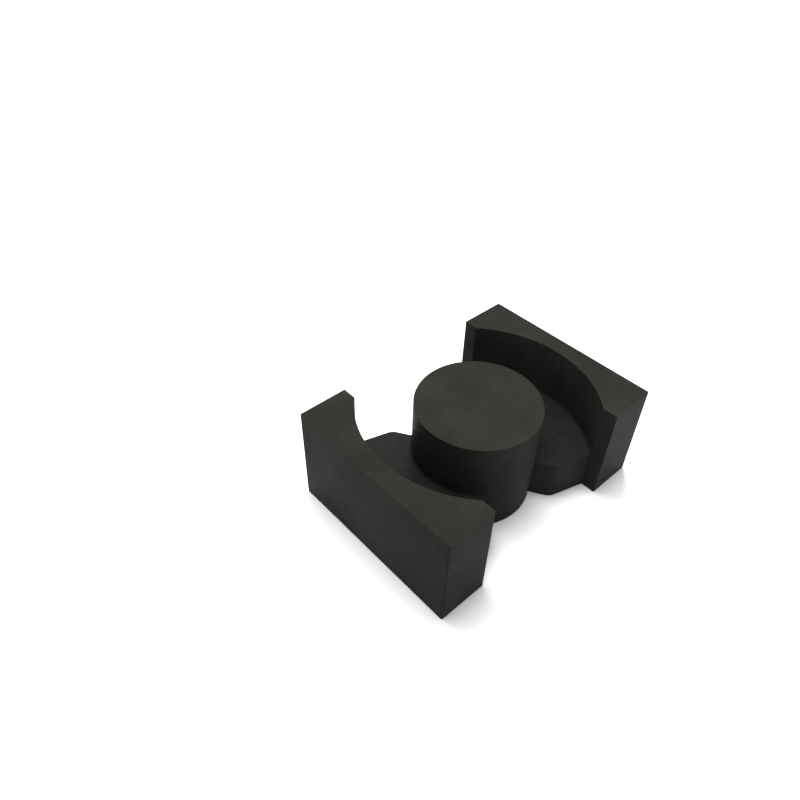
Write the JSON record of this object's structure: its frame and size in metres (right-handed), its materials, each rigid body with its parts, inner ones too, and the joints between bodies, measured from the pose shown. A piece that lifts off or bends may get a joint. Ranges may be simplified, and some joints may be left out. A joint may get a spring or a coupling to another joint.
{
  "type": "pq ferrite core half",
  "caption": "Half of a PQ ferrite core: a round centre post between two outer legs with rounded inner walls on a waisted back plate, for a switching transformer or choke.",
  "frame": {"origin": "centre of the flat back, on the axis of the centre post", "axes": "+X from leg to leg, +Y along the width of the legs towards one wire exit, +Z from the back to the ground mating faces"},
  "size_m": [0.0264, 0.019, 0.0105],
  "materials": {
    "ferrite": "matte, sintered, with ground mating faces"
  },
  "bodies": {
    "root": {"core_half": "ferrite"}
  },
  "joints": []
}
